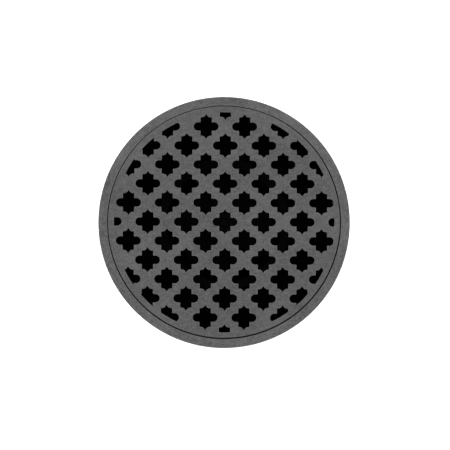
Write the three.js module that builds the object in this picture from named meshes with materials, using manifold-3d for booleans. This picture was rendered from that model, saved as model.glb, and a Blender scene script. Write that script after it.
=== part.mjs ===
// Round floor drain with a lift-out patterned grate, built as its separate pieces.
// Millimetres, +Z up. The origin is on the drain's axis, level with the lower end of the threaded shank.

import * as THREE from 'three';
import { mergeVertices } from 'three/addons/utils/BufferGeometryUtils.js';
import Module from 'manifold-3d';

const wasm = await Module();
wasm.setup();

// ---- driving dimensions -------------------------------------------------------------------------
// Heights are given as depths below the walking surface, which is the level top of the frame and the plate.

const TOP = 65;
const GAP = 0.1;
const PLAY = 0.3;

const FRAME_R = 63.5;
const FRAME_BORE_R = 59;
const LEDGE_R = 55.9;
const FRAME_DEPTH = 6;
const LEDGE_DEPTH = 4.4;
const FRAME_CHAMFER = 0.4;

const PLATE_R = 58.45;
const PLATE_THICK = 3;
const PLATE_SHIFT = [-0.07, 0.2];
const PLATE_TURN = THREE.MathUtils.degToRad(-0.27);

// The pierced pattern: a staggered lattice of four-lobed openings, trimmed by a circle inside the border.
const PATTERN_R = 55.6;
const TRIM_CENTRE = [0.11, -0.18];
const PATTERN_REACH = 60;
const INNER_REACH = 51;
const INNER_TRIM_R = 55.95;
const PATTERN_SHIFT = [0.51, -0.09];
const HALF_PITCH_X = 9.736;
const HALF_PITCH_Y = 9.651;
const LOBE_R = 2.12;
const LOBE_REACH = 6.27;
const HOLE_HALF_WIDTH = 2.84;
const SHOULDER_Y = 4.65;
const OGEE_R = 2.4;
const TIP_Y = 6.3;
const LOBE_STEPS = 2;
const OGEE_STEPS = 2;

const SCREW_CIRCLE_R = 60.9;
const SCREW_COUNT = 4;
const SCREW_R = 1.2;
const SCREW_HEAD_R = 2.25;
const SCREW_HEAD = 2;
const SCREW_TIP_DEPTH = 2;
const HOLE_R = 1.4;
const BLIND_HOLE_DEPTH = 1.6;
const SOCKET_R = 1.1;
const SOCKET_DEPTH = 1.2;
const SMALL_WASHER_R = 2.5;
const SMALL_WASHER = 0.5;

const FLANGE_R = 63.4;
const FLANGE_TOP = 6.7;
const FLANGE_BOTTOM = 10.2;
const PAN_R = 55.7;
const PAN_OUTER_R = 58.2;
const PAN_UNDERSIDE = 19.5;
const FLOOR_EDGE_DEPTH = 13.2;
const FLOOR_LIP_DEPTH = 16.4;
const SEAT_R = 34.5;
const SEAT_DEPTH = 19.4;
const THROAT_R = 31;
const PIPE_BORE_R = 26.5;
const PIPE_STOP = 44;
const PIPE_SOCKET_R = 30.4;
const CHAMBER_R = 34.6;
const CHAMBER_DEPTH = 50;

const SHANK_ROOT_R = 38.2;
const SHANK_CREST_R = 39.5;
const THREAD_PITCH = 4;
const THREAD_TOP = 26.5;
const THREAD_TURNS = 8.5;
const THREAD_LAND = 1;
const SHANK_CHAMFER = 1;

const GUSSET_REACH = 62.4;
const GUSSET_DROP = 6;
const GUSSET_THICK = 2;

const COLLAR_BORE_R = 39.9;
const BASE_GASKET = 3;
const BASE_GASKET_R = 57.6;
const BASE_SPACE = 8;
const FRICTION_WASHER = 1.5;
const FRICTION_R = 54;
const LOCK_NUT = 12;
const LOCK_NUT_R = 47;
const LOCK_FLANGE_R = 52;
const LOCK_FLANGE = 3;
const LUG_COUNT = 8;
const LUG_WIDTH = 5;
const LUG_PROUD = 1.5;

const PIPE_SLEEVE_R = 30.7;
const PIPE_SEAL = 7;
const SLIP_WASHER = 1.2;
const COMPRESSION_SET_BACK = 0.3;
const NOTCH_COUNT = 6;
const NOTCH_WIDTH = 4;
const NOTCH_DEPTH = 2.5;

const BASKET_SEAL = 0.8;
const BASKET_RIM = 1.3;
const CUP_DEPTH = 38;
const CUP_WALL = 1.2;
const CUP_TOP_R = 30.4;
const CUP_BOTTOM_R = 25.8;
const SLOT_COUNT = 12;
const SLOT_WIDTH = 2.6;
const SLOT_HEIGHT = 6;
const FLOOR_HOLE_R = 1.6;
const FLOOR_HOLE_REACH = 22;
const STUD_R = 1.6;
const STUD_TIP = 41.5;
const POST_FOOT_R = 3.4;
const POST_R = 2.3;
const KNOB_R = 6.5;
const KNOB_TOP = 7.6;
const BASKET_NUT = 2.4;
const BASKET_NUT_R = 4;

const RING_STEPS = 72;
const BODY_STEPS = 36;

// ---- solids from three.js geometry --------------------------------------------------------------

const at = (depth) => TOP - depth;

function signedVolume(position, index) {
  const a = new THREE.Vector3();
  const b = new THREE.Vector3();
  const c = new THREE.Vector3();
  let volume = 0;
  for (let i = 0; i < index.length; i += 3) {
    a.fromBufferAttribute(position, index[i]);
    b.fromBufferAttribute(position, index[i + 1]);
    c.fromBufferAttribute(position, index[i + 2]);
    volume += a.dot(b.cross(c)) / 6;
  }
  return volume;
}

// A closed geometry as a solid: its shared vertices merged, flat triangles left out, faces pointing outwards.
function solid(geometry) {
  geometry.deleteAttribute('normal');
  geometry.deleteAttribute('uv');
  const merged = mergeVertices(geometry);
  const all = Array.from(merged.index.array);
  const triangles = [];
  for (let i = 0; i < all.length; i += 3) {
    const [a, b, c] = all.slice(i, i + 3);
    if (a !== b && b !== c && c !== a) triangles.push(a, b, c);
  }
  if (signedVolume(merged.attributes.position, triangles) < 0) triangles.reverse();
  const mesh = new wasm.Mesh({
    numProp: 3,
    vertProperties: new Float32Array(merged.attributes.position.array),
    triVerts: new Uint32Array(triangles),
  });
  return new wasm.Manifold(mesh);
}

// A solid of revolution about Z from [radius, depth] corners. Off the axis, its outline closes on itself.
function turned(corners, steps = RING_STEPS) {
  const points = corners.map(([r, depth]) => new THREE.Vector2(r, at(depth)));
  if (corners[0][0] > 0) points.push(points[0].clone());
  return solid(new THREE.LatheGeometry(points, steps).rotateX(Math.PI / 2));
}

function ring(innerR, outerR, topDepth, bottomDepth, steps = RING_STEPS) {
  const corners = [[innerR, bottomDepth], [outerR, bottomDepth], [outerR, topDepth], [innerR, topDepth]];
  return turned(corners, steps);
}

function disc(r, topDepth, bottomDepth, steps) {
  return turned([[0, bottomDepth], [r, bottomDepth], [r, topDepth], [0, topDepth]], steps);
}

// One or more flat outlines raised between two depths.
function raised(shapes, topDepth, bottomDepth, curveSegments = 4) {
  const depth = bottomDepth - topDepth;
  const geometry = new THREE.ExtrudeGeometry(shapes, { depth, bevelEnabled: false, curveSegments });
  return solid(geometry.translate(0, 0, at(bottomDepth)));
}

function block(sizeX, sizeY, topDepth, bottomDepth, x) {
  const geometry = new THREE.BoxGeometry(sizeX, sizeY, bottomDepth - topDepth);
  return solid(geometry.translate(x, 0, at((topDepth + bottomDepth) / 2)));
}

const spun = (piece, angle) => piece.rotate([0, 0, THREE.MathUtils.radToDeg(angle)]);

// The same solid repeated evenly round the axis, as one solid.
function around(piece, count, firstAngle = 0) {
  let all = spun(piece, firstAngle);
  for (let i = 1; i < count; i++) all = all.add(spun(piece, firstAngle + (i * 2 * Math.PI) / count));
  return all;
}

// A ridge wound round the axis: a straight bar of the ridge's section, bent into a right-hand helix.
function helix(section, startDepth, turns, pitch) {
  const shape = new THREE.Shape(section.map(([r, rise]) => new THREE.Vector2(r, rise)));
  const steps = Math.round(turns * BODY_STEPS);
  const geometry = new THREE.ExtrudeGeometry(shape, { depth: turns, steps, bevelEnabled: false });
  const position = geometry.attributes.position;
  for (let i = 0; i < position.count; i++) {
    const r = position.getX(i);
    const turn = position.getZ(i);
    const z = at(startDepth) + position.getY(i) + turn * pitch;
    const angle = turn * 2 * Math.PI;
    position.setXYZ(i, r * Math.cos(angle), r * Math.sin(angle), z);
  }
  return solid(geometry);
}

// ---- materials and nodes ------------------------------------------------------------------------

const FINISH = {
  gunmetal: { color: 0x606060, roughness: 0.42, metalness: 0.9 },
  blackPlastic: { color: 0x101011, roughness: 0.55, metalness: 0 },
  rubber: { color: 0x17171a, roughness: 0.85, metalness: 0 },
  fibre: { color: 0x8a6a48, roughness: 0.9, metalness: 0 },
  nylon: { color: 0xd9d5c8, roughness: 0.5, metalness: 0 },
  steel: { color: 0xb4b6b8, roughness: 0.35, metalness: 1 },
};

const drain = new THREE.Group();

function node(name, piece, finish) {
  const { vertProperties, triVerts } = piece.getMesh();
  const geometry = new THREE.BufferGeometry();
  geometry.setAttribute('position', new THREE.BufferAttribute(new Float32Array(vertProperties), 3));
  geometry.setIndex(new THREE.BufferAttribute(new Uint32Array(triVerts), 1));
  geometry.computeVertexNormals();
  const mesh = new THREE.Mesh(geometry, new THREE.MeshStandardMaterial(FINISH[finish]));
  mesh.name = name;
  drain.add(mesh);
  return mesh;
}

// ---- frame --------------------------------------------------------------------------------------

const screwAngle = (i) => Math.PI / 4 + (i * 2 * Math.PI) / SCREW_COUNT;

function screwHoles(topDepth, bottomDepth) {
  const hole = disc(HOLE_R, topDepth, bottomDepth, 12).translate([SCREW_CIRCLE_R, 0, 0]);
  return around(hole, SCREW_COUNT, screwAngle(0));
}

function frameRing() {
  const body = turned([
    [LEDGE_R, FRAME_DEPTH],
    [FRAME_R, FRAME_DEPTH],
    [FRAME_R, FRAME_CHAMFER],
    [FRAME_R - FRAME_CHAMFER, 0],
    [FRAME_BORE_R, 0],
    [FRAME_BORE_R, LEDGE_DEPTH],
    [LEDGE_R, LEDGE_DEPTH],
  ]);
  return body.subtract(screwHoles(BLIND_HOLE_DEPTH, FRAME_DEPTH + 1));
}

node('frame_ring', frameRing(), 'gunmetal');
node('seat_gasket', ring(LEDGE_R + 0.2, PLATE_R, PLATE_THICK + GAP, LEDGE_DEPTH - GAP, BODY_STEPS), 'rubber');

// ---- grate plate --------------------------------------------------------------------------------

function arc(x, y, r, from, to, steps) {
  return new THREE.EllipseCurve(x, y, r, r, from, to, to < from).getPoints(steps);
}

// One opening: round lobes left and right, a square-shouldered body, and an ogee point above and below.
function openingOutline() {
  const ogeeY = SHOULDER_Y + OGEE_R;
  const tip = Math.asin((ogeeY - TIP_Y) / OGEE_R);
  const quarter = [
    ...arc(LOBE_REACH - LOBE_R, 0, LOBE_R, 0, Math.PI / 2, LOBE_STEPS),
    new THREE.Vector2(HOLE_HALF_WIDTH, LOBE_R),
    new THREE.Vector2(HOLE_HALF_WIDTH, SHOULDER_Y),
    ...arc(OGEE_R, ogeeY, OGEE_R, -Math.PI / 2, tip - Math.PI, OGEE_STEPS).slice(1),
  ];
  const flipped = (points, signX, signY) => points.map((p) => new THREE.Vector2(p.x * signX, p.y * signY));
  const half = [...quarter, ...flipped(quarter, -1, 1).reverse()];
  return [...half, ...flipped(half.slice(1, -1), 1, -1).reverse()];
}

// Lobes and the bar between them, for the outermost sites left and right: a body there would be a sliver.
function barOutline() {
  const end = arc(LOBE_REACH - LOBE_R, 0, LOBE_R, -Math.PI / 2, Math.PI / 2, 2 * LOBE_STEPS);
  return [...end, ...end.map((p) => new THREE.Vector2(-p.x, -p.y))];
}

// The openings at the lattice sites that lie between two distances from the pattern's middle.
function openings(nearest, furthest) {
  const outline = openingOutline();
  const bar = barOutline();
  const shapes = [];
  const reach = Math.ceil(PATTERN_REACH / HALF_PITCH_Y);
  for (let row = -reach; row <= reach; row++) {
    for (let column = -reach; column <= reach; column++) {
      const x = column * HALF_PITCH_X + PATTERN_SHIFT[0];
      const y = row * HALF_PITCH_Y + PATTERN_SHIFT[1];
      const onLattice = (row + column) % 2 === 0;
      const away = Math.hypot(x, y);
      if (onLattice && away >= nearest && away < furthest) {
        const shape = Math.abs(x) > PATTERN_R + LOBE_R ? bar : outline;
        shapes.push(new THREE.Shape(shape.map((p) => new THREE.Vector2(p.x + x, p.y + y))));
      }
    }
  }
  return raised(shapes, -1, PLATE_THICK + 1);
}

// The inner openings are whole, but for two on the right whose lobes a slightly wider circle just blunts.
function gratePlate() {
  const inside = (r) => disc(r, -1, PLATE_THICK + 1, RING_STEPS).translate([...TRIM_CENTRE, 0]);
  const inner = openings(0, INNER_REACH).intersect(inside(INNER_TRIM_R));
  const outer = openings(INNER_REACH, PATTERN_REACH).intersect(inside(PATTERN_R));
  const plate = disc(PLATE_R, 0, PLATE_THICK, RING_STEPS).subtract(inner.add(outer));
  return spun(plate, PLATE_TURN).translate([...PLATE_SHIFT, 0]);
}

node('grate_plate', gratePlate(), 'gunmetal');

// ---- drain body ---------------------------------------------------------------------------------

// Small triangular webs in the corner between the flange and the pan.
function gussets() {
  const side = new THREE.Shape([
    new THREE.Vector2(PAN_OUTER_R - 1, 0),
    new THREE.Vector2(GUSSET_REACH, 0),
    new THREE.Vector2(PAN_OUTER_R - 1, -GUSSET_DROP),
  ]);
  const geometry = new THREE.ExtrudeGeometry(side, { depth: GUSSET_THICK, bevelEnabled: false });
  geometry.translate(0, 0, -GUSSET_THICK / 2).rotateX(Math.PI / 2);
  const web = solid(geometry.translate(0, 0, at(FLANGE_BOTTOM - 0.5)));
  return around(web, 2 * SCREW_COUNT, Math.PI / 8);
}

function drainBody() {
  const moulding = turned([
    [FLANGE_R, FLANGE_TOP],
    [FLANGE_R, FLANGE_BOTTOM],
    [PAN_OUTER_R, FLANGE_BOTTOM],
    [PAN_OUTER_R, PAN_UNDERSIDE],
    [SHANK_ROOT_R, PAN_UNDERSIDE],
    [SHANK_ROOT_R, TOP - SHANK_CHAMFER],
    [SHANK_ROOT_R - SHANK_CHAMFER, TOP],
    [CHAMBER_R, TOP],
    [CHAMBER_R, CHAMBER_DEPTH],
    [PIPE_SOCKET_R, CHAMBER_DEPTH],
    [PIPE_SOCKET_R, PIPE_STOP],
    [PIPE_BORE_R, PIPE_STOP],
    [PIPE_BORE_R, PIPE_STOP - 2],
    [THROAT_R, PIPE_STOP - 4.5],
    [THROAT_R, SEAT_DEPTH],
    [SEAT_R, SEAT_DEPTH],
    [SEAT_R, FLOOR_LIP_DEPTH],
    [PAN_R - 1.5, FLOOR_EDGE_DEPTH],
    [PAN_R, FLOOR_EDGE_DEPTH - 1.6],
    [PAN_R, FLANGE_TOP],
  ], BODY_STEPS);
  const flank = (SHANK_CREST_R - SHANK_ROOT_R) / 2;
  const ridge = [
    [SHANK_ROOT_R - 0.3, -flank - 0.6],
    [SHANK_CREST_R, -THREAD_LAND / 2],
    [SHANK_CREST_R, THREAD_LAND / 2],
    [SHANK_ROOT_R - 0.3, flank + 0.6],
  ];
  const threadBottom = THREAD_TOP + THREAD_TURNS * THREAD_PITCH;
  const thread = helix(ridge, threadBottom, THREAD_TURNS, THREAD_PITCH);
  return moulding.add(thread).add(gussets()).subtract(screwHoles(FLANGE_TOP - 1, FLANGE_BOTTOM + 1));
}

node('drain_body', drainBody(), 'blackPlastic');

const flangeSeal = ring(LEDGE_R + PLAY, FRAME_R - 0.5, FRAME_DEPTH + GAP, FLANGE_TOP - GAP, BODY_STEPS);
node('flange_seal', flangeSeal.subtract(screwHoles(FRAME_DEPTH, FLANGE_TOP)), 'rubber');

// ---- screws that hold the frame down on the flange ----------------------------------------------

const washerTop = FLANGE_BOTTOM + GAP;
const headTop = washerTop + SMALL_WASHER + GAP;

function frameScrew() {
  const shaft = turned([
    [0, headTop + SCREW_HEAD],
    [SCREW_HEAD_R - 0.3, headTop + SCREW_HEAD],
    [SCREW_HEAD_R, headTop + SCREW_HEAD - 0.4],
    [SCREW_HEAD_R, headTop],
    [SCREW_R, headTop],
    [SCREW_R, SCREW_TIP_DEPTH + 0.4],
    [SCREW_R - 0.4, SCREW_TIP_DEPTH],
    [0, SCREW_TIP_DEPTH],
  ], 16);
  const socket = disc(SOCKET_R, headTop + SCREW_HEAD - SOCKET_DEPTH, headTop + SCREW_HEAD + 1, 6);
  return shaft.subtract(socket);
}

for (let i = 0; i < SCREW_COUNT; i++) {
  const place = (piece) => spun(piece.translate([SCREW_CIRCLE_R, 0, 0]), screwAngle(i));
  node(`frame_screw_${i + 1}`, place(frameScrew()), 'steel');
  node(`screw_washer_${i + 1}`, place(ring(HOLE_R, SMALL_WASHER_R, washerTop, headTop - GAP, 16)), 'steel');
}

// ---- what clamps the body to the shower base ----------------------------------------------------
// The base's floor lies between the gasket and the friction washer, so a space as thick is left there.

const baseGasketTop = PAN_UNDERSIDE + GAP;
const frictionTop = baseGasketTop + BASE_GASKET + BASE_SPACE;
const lockNutTop = frictionTop + FRICTION_WASHER + GAP;
const lockNutBottom = lockNutTop + LOCK_NUT;

const baseGasket = ring(COLLAR_BORE_R, BASE_GASKET_R, baseGasketTop, baseGasketTop + BASE_GASKET, BODY_STEPS);
node('base_gasket', baseGasket, 'rubber');
node('friction_washer', ring(COLLAR_BORE_R, FRICTION_R, frictionTop, lockNutTop - GAP, BODY_STEPS), 'fibre');

function lockNut() {
  const collar = turned([
    [COLLAR_BORE_R, lockNutTop],
    [LOCK_FLANGE_R, lockNutTop],
    [LOCK_FLANGE_R, lockNutTop + LOCK_FLANGE],
    [LOCK_NUT_R, lockNutTop + LOCK_FLANGE + 1],
    [LOCK_NUT_R, lockNutBottom],
    [COLLAR_BORE_R, lockNutBottom],
  ], BODY_STEPS);
  const reach = LOCK_FLANGE_R + LUG_PROUD - LOCK_NUT_R + 1;
  const lug = block(reach, LUG_WIDTH, lockNutTop + 1, lockNutBottom, LOCK_NUT_R - 1 + reach / 2);
  return collar.add(around(lug, LUG_COUNT));
}

node('lock_nut', lockNut(), 'blackPlastic');

// ---- compression joint that grips the waste pipe ------------------------------------------------

const slipWasherTop = CHAMBER_DEPTH + PIPE_SEAL + 2 * GAP;
const compressionTop = slipWasherTop + SLIP_WASHER + GAP;
const compressionBottom = TOP - COMPRESSION_SET_BACK;

const pipeSeal = ring(PIPE_SLEEVE_R, CHAMBER_R - PLAY, CHAMBER_DEPTH + GAP, slipWasherTop - GAP, BODY_STEPS);
node('pipe_seal', pipeSeal, 'rubber');
const slipWasher = ring(PIPE_SLEEVE_R, CHAMBER_R - PLAY, slipWasherTop, compressionTop - GAP, BODY_STEPS);
node('slip_washer', slipWasher, 'nylon');

function compressionNut() {
  const collar = ring(PIPE_SLEEVE_R, CHAMBER_R - PLAY, compressionTop, compressionBottom, BODY_STEPS);
  const notch = block(8, NOTCH_WIDTH, compressionBottom - NOTCH_DEPTH, TOP + 1, CHAMBER_R - 2);
  return collar.subtract(around(notch, NOTCH_COUNT));
}

node('compression_nut', compressionNut(), 'blackPlastic');

// ---- hair basket --------------------------------------------------------------------------------

const basketSealTop = SEAT_DEPTH - GAP - BASKET_SEAL;
const rimBottom = basketSealTop - GAP;
const rimTop = rimBottom - BASKET_RIM;
const cupFloor = CUP_DEPTH - CUP_WALL;

const basketSeal = ring(THROAT_R + PLAY, SEAT_R - PLAY, basketSealTop, SEAT_DEPTH - GAP, BODY_STEPS);
node('basket_seal', basketSeal, 'rubber');

// Holes in the basket's floor, on the same staggered lattice as the plate but under its solid crossings.
function floorHoleSites() {
  const sites = [];
  for (let row = -2; row <= 2; row++) {
    for (let column = -2; column <= 2; column++) {
      const x = column * HALF_PITCH_X;
      const y = row * HALF_PITCH_Y;
      if ((row + column) % 2 !== 0 && Math.hypot(x, y) < FLOOR_HOLE_REACH) sites.push([x, y]);
    }
  }
  return sites;
}

function basketCup() {
  const shell = turned([
    [0, CUP_DEPTH],
    [CUP_BOTTOM_R, CUP_DEPTH],
    [CUP_TOP_R, rimBottom],
    [SEAT_R - PLAY, rimBottom],
    [SEAT_R - PLAY, rimTop],
    [CUP_TOP_R - CUP_WALL, rimTop],
    [CUP_BOTTOM_R - CUP_WALL, cupFloor],
    [0, cupFloor],
  ], BODY_STEPS);
  let piece = shell.subtract(disc(STUD_R + 0.15, cupFloor - 1, CUP_DEPTH + 1, 12));
  for (const tier of [0, 1]) {
    const top = rimBottom + 2 + tier * (SLOT_HEIGHT + 2);
    const slot = block(12, SLOT_WIDTH, top, top + SLOT_HEIGHT, CUP_TOP_R - 3);
    piece = piece.subtract(around(slot, SLOT_COUNT, (tier * Math.PI) / SLOT_COUNT));
  }
  const hole = disc(FLOOR_HOLE_R, cupFloor - 1, CUP_DEPTH + 1, 12);
  return piece.subtract(wasm.Manifold.union(floorHoleSites().map(([x, y]) => hole.translate([x, y, 0]))));
}

node('basket_cup', basketCup(), 'blackPlastic');

// The pull knob, its post and the stud under it that passes through the basket's floor.
node('basket_knob', turned([
  [0, STUD_TIP],
  [STUD_R, STUD_TIP],
  [STUD_R, cupFloor - GAP],
  [POST_FOOT_R, cupFloor - GAP],
  [POST_FOOT_R, cupFloor - 1.3],
  [POST_R, cupFloor - 2.5],
  [POST_R, KNOB_TOP + 5.4],
  [KNOB_R, KNOB_TOP + 4],
  [KNOB_R, KNOB_TOP + 1],
  [KNOB_R - 1, KNOB_TOP],
  [0, KNOB_TOP],
], 24), 'blackPlastic');

const nutTop = CUP_DEPTH + GAP;
const hexBlank = disc(BASKET_NUT_R, nutTop, nutTop + BASKET_NUT, 6);
node('basket_nut', hexBlank.subtract(disc(STUD_R + GAP, nutTop - 1, nutTop + BASKET_NUT + 1, 12)), 'steel');

export default drain;
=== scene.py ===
"""Looks for the round floor drain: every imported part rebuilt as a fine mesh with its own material.

The sizes of the pieces and the camera's view are in millimetres, turned into metres as each is made.
Materials, lights and the floor are set in metres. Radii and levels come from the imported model's boxes. What a
box can't say, such as an inner radius, is a named value at the head of the section that uses it.
"""

import math

import bmesh
import bpy
from mathutils import Matrix, Vector
from mathutils.geometry import delaunay_2d_cdt


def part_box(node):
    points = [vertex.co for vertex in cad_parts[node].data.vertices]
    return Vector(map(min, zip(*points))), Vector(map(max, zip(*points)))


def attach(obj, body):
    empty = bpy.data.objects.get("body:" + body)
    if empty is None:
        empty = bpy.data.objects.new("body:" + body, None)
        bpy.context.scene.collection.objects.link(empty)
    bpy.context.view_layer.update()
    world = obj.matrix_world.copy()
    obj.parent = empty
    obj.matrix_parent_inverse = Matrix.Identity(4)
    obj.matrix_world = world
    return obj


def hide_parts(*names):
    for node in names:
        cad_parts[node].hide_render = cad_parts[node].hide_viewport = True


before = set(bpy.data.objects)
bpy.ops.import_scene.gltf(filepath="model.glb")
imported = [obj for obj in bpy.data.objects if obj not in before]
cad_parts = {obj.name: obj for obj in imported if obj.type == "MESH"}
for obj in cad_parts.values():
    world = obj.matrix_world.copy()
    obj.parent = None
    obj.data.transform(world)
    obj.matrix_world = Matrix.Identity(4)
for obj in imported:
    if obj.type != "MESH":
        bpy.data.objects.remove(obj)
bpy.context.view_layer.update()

MM = 0.001
FULL_TURN = 2 * math.pi
FINE = 192
MEDIUM = 128
SMALL = 48
TINY = 24
SHARP_ANGLE = math.radians(40)
SOFTEN_ANGLE = math.radians(35)
FILLET_STEP = math.radians(20)
HOLD = 0.12


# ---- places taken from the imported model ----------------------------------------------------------


class Span:
    """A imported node's outer radius, centre, top and bottom, in millimetres."""

    def __init__(self, node):
        low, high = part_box(node)
        self.r = (high.x - low.x) / 2 / MM
        self.centre = ((low.x + high.x) / 2 / MM, (low.y + high.y) / 2 / MM)
        self.low = low.z / MM
        self.high = high.z / MM


ring = Span("frame_ring")
plate = Span("grate_plate")
cushion = Span("seat_gasket")
seal = Span("flange_seal")
body = Span("drain_body")
base_gasket = Span("base_gasket")
friction = Span("friction_washer")
lock = Span("lock_nut")
pipe_seal = Span("pipe_seal")
slip = Span("slip_washer")
squeeze = Span("compression_nut")
basket_seal = Span("basket_seal")
cup = Span("basket_cup")
knob = Span("basket_knob")
basket_nut = Span("basket_nut")

TOP = ring.high
SCREW_CIRCLE_R = 60.9
SCREW_ANGLES = [math.pi / 4 + i * math.pi / 2 for i in range(4)]
HOLE_R = 1.4
COLLAR_BORE_R = 39.9
THREAD_PITCH = 4.0
THREAD_START_DEPTH = 60.5
SHANK_ROOT_R = 38.2
SHANK_CREST_R = 39.5


# ---- outlines ------------------------------------------------------------------------------------


def arc(x, y, r, start, end, steps):
    """Points on an arc, both ends included."""
    angles = [start + (end - start) * i / steps for i in range(steps + 1)]
    return [(x + r * math.cos(a), y + r * math.sin(a)) for a in angles]


def fillet(corners, closed=True):
    """Rounds each (x, y, radius) corner with an arc. A corner given as (x, y) stays sharp."""
    points = []
    count = len(corners)
    for i, corner in enumerate(corners):
        here = Vector(corner[:2])
        radius = corner[2] if len(corner) > 2 else 0
        at_end = not closed and i in (0, count - 1)
        if radius <= 0 or at_end:
            points.append(tuple(here))
            continue
        back = Vector(corners[i - 1][:2]) - here
        ahead = Vector(corners[(i + 1) % count][:2]) - here
        half = back.angle(ahead) / 2
        if half > math.radians(89):
            points.append(tuple(here))
            continue
        reach = min(radius / math.tan(half), 0.48 * back.length, 0.48 * ahead.length)
        radius = reach * math.tan(half)
        bisector = (back.normalized() + ahead.normalized()).normalized()
        centre = here + bisector * (radius / math.sin(half))
        first = here + back.normalized() * reach - centre
        last = here + ahead.normalized() * reach - centre
        swing = first.angle_signed(last)
        steps = max(2, round(abs(swing) / FILLET_STEP))
        start = math.atan2(first.y, first.x)
        points += arc(centre.x, centre.y, radius, start, start - swing, steps)
    return points


def held(points, closed):
    """Adds a point near each end of every long straight, so that smooth shading keeps the straight flat."""
    result = []
    count = len(points)
    for i, point in enumerate(points):
        result.append(point)
        if i == count - 1 and not closed:
            break
        a = Vector(point)
        b = Vector(points[(i + 1) % count])
        length = (b - a).length
        if length > 5 * HOLD:
            result.append(tuple(a.lerp(b, HOLD / length)))
            result.append(tuple(a.lerp(b, 1 - HOLD / length)))
    return result


# ---- meshes --------------------------------------------------------------------------------------


def new_object(name, mesh):
    piece = bpy.data.objects.new(name, mesh)
    bpy.context.scene.collection.objects.link(piece)
    return piece


def shade(piece):
    piece.data.shade_smooth()
    piece.data.set_sharp_from_angle(angle=SHARP_ANGLE)


def from_bmesh(name, bm):
    """An object from a bmesh in millimetres, its faces pointing outwards."""
    bmesh.ops.recalc_face_normals(bm, faces=bm.faces)
    bmesh.ops.scale(bm, vec=(MM, MM, MM), verts=bm.verts)
    mesh = bpy.data.meshes.new(name)
    bm.to_mesh(mesh)
    bm.free()
    piece = new_object(name, mesh)
    shade(piece)
    return piece


def lathe(name, corners, segments=FINE, centre=(0, 0)):
    """A turned solid from (radius, height, fillet) corners. An outline that starts on the axis stays open
    there, and any other closes."""
    closed = corners[0][0] > 0
    outline = held(fillet(corners, closed), closed)
    bm = bmesh.new()
    rows = []
    for r, z in outline:
        if r < 1e-6:
            rows.append([bm.verts.new((*centre, z))] * segments)
            continue
        angles = [FULL_TURN * i / segments for i in range(segments)]
        places = [(centre[0] + r * math.cos(a), centre[1] + r * math.sin(a), z) for a in angles]
        rows.append([bm.verts.new(place) for place in places])
    pairs = list(zip(rows, rows[1:] + rows[:1])) if closed else list(zip(rows, rows[1:]))
    for row, above in pairs:
        for i in range(segments):
            j = (i + 1) % segments
            corners_of_face = list(dict.fromkeys([row[i], row[j], above[j], above[i]]))
            if len(corners_of_face) > 2:
                bm.faces.new(corners_of_face)
    return from_bmesh(name, bm)


def prism(name, outline, low, high):
    """A flat outline raised between two heights."""
    bm = bmesh.new()
    bottom = [bm.verts.new((x, y, low)) for x, y in outline]
    top = [bm.verts.new((x, y, high)) for x, y in outline]
    bm.faces.new(bottom)
    bm.faces.new(top)
    for i in range(len(outline)):
        j = (i + 1) % len(outline)
        bm.faces.new([bottom[i], bottom[j], top[j], top[i]])
    return from_bmesh(name, bm)


def helix(name, section, start, turns, pitch, steps_per_turn=96, run_out=0.12):
    """A right-hand ridge round the axis. section is (radius, rise) points. At both ends the ridge sinks away
    to the radius of the section's first point."""
    bm = bmesh.new()
    floor_r = section[0][0]
    steps = round(turns * steps_per_turn)
    rows = []
    for i in range(steps + 1):
        turn = turns * i / steps
        fade = min(1, turn / run_out, (turns - turn) / run_out)
        fade = 0.02 + 0.98 * fade * fade * (3 - 2 * fade)
        angle = FULL_TURN * turn
        row = []
        for r, rise in section:
            radius = floor_r + (r - floor_r) * fade
            z = start + turn * pitch + rise
            row.append(bm.verts.new((radius * math.cos(angle), radius * math.sin(angle), z)))
        rows.append(row)
    for row, following in zip(rows, rows[1:]):
        for i in range(len(section)):
            j = (i + 1) % len(section)
            bm.faces.new([row[i], row[j], following[j], following[i]])
    bm.faces.new(rows[0])
    bm.faces.new(rows[-1])
    return from_bmesh(name, bm)


def turned_copy(piece, angle):
    """A copy of a tool object, turned about the axis."""
    copy = new_object(piece.name, piece.data.copy())
    copy.rotation_euler.z = angle
    return copy


def around(piece, count, first=0.0):
    """The tool object repeated evenly about the axis, as a list; the original is used up."""
    copies = [turned_copy(piece, first + FULL_TURN * i / count) for i in range(count)]
    bpy.data.objects.remove(piece)
    return copies


def settle(piece):
    """Applies the piece's modifiers."""
    graph = bpy.context.evaluated_depsgraph_get()
    mesh = bpy.data.meshes.new_from_object(piece.evaluated_get(graph))
    piece.modifiers.clear()
    old = piece.data
    piece.data = mesh
    bpy.data.meshes.remove(old)


def combine(piece, tools, operation):
    """Cuts the tools from the piece, or joins them to it, and uses them up."""
    for tool in tools:
        change = piece.modifiers.new("combine", "BOOLEAN")
        change.operation = operation
        change.solver = "MANIFOLD"
        change.object = tool
    settle(piece)
    for tool in tools:
        bpy.data.objects.remove(tool)
    shade(piece)


def cut(piece, tools):
    combine(piece, tools, "DIFFERENCE")


def join(piece, tools):
    combine(piece, tools, "UNION")


def soften(piece, width):
    """Rounds the piece's edges."""
    change = piece.modifiers.new("soften", "BEVEL")
    change.width = width * MM
    change.segments = 2
    change.limit_method = "ANGLE"
    change.angle_limit = SOFTEN_ANGLE
    change.use_clamp_overlap = True
    settle(piece)
    shade(piece)


# ---- materials -----------------------------------------------------------------------------------

RING_TONE = 0.059
PLATE_TONE = 0.056
RING_GRIT = 1.0
PLATE_GRIT = 0.68
EDGE_WEAR_AND_HIGHLIGHT = 0.0008
PAINTED_SHADE_REACH = 0.0015
RAY_SAMPLES = 6

MOULDING_SHADE = 0.009
MOULDING_GLANCE = 0.22
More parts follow.
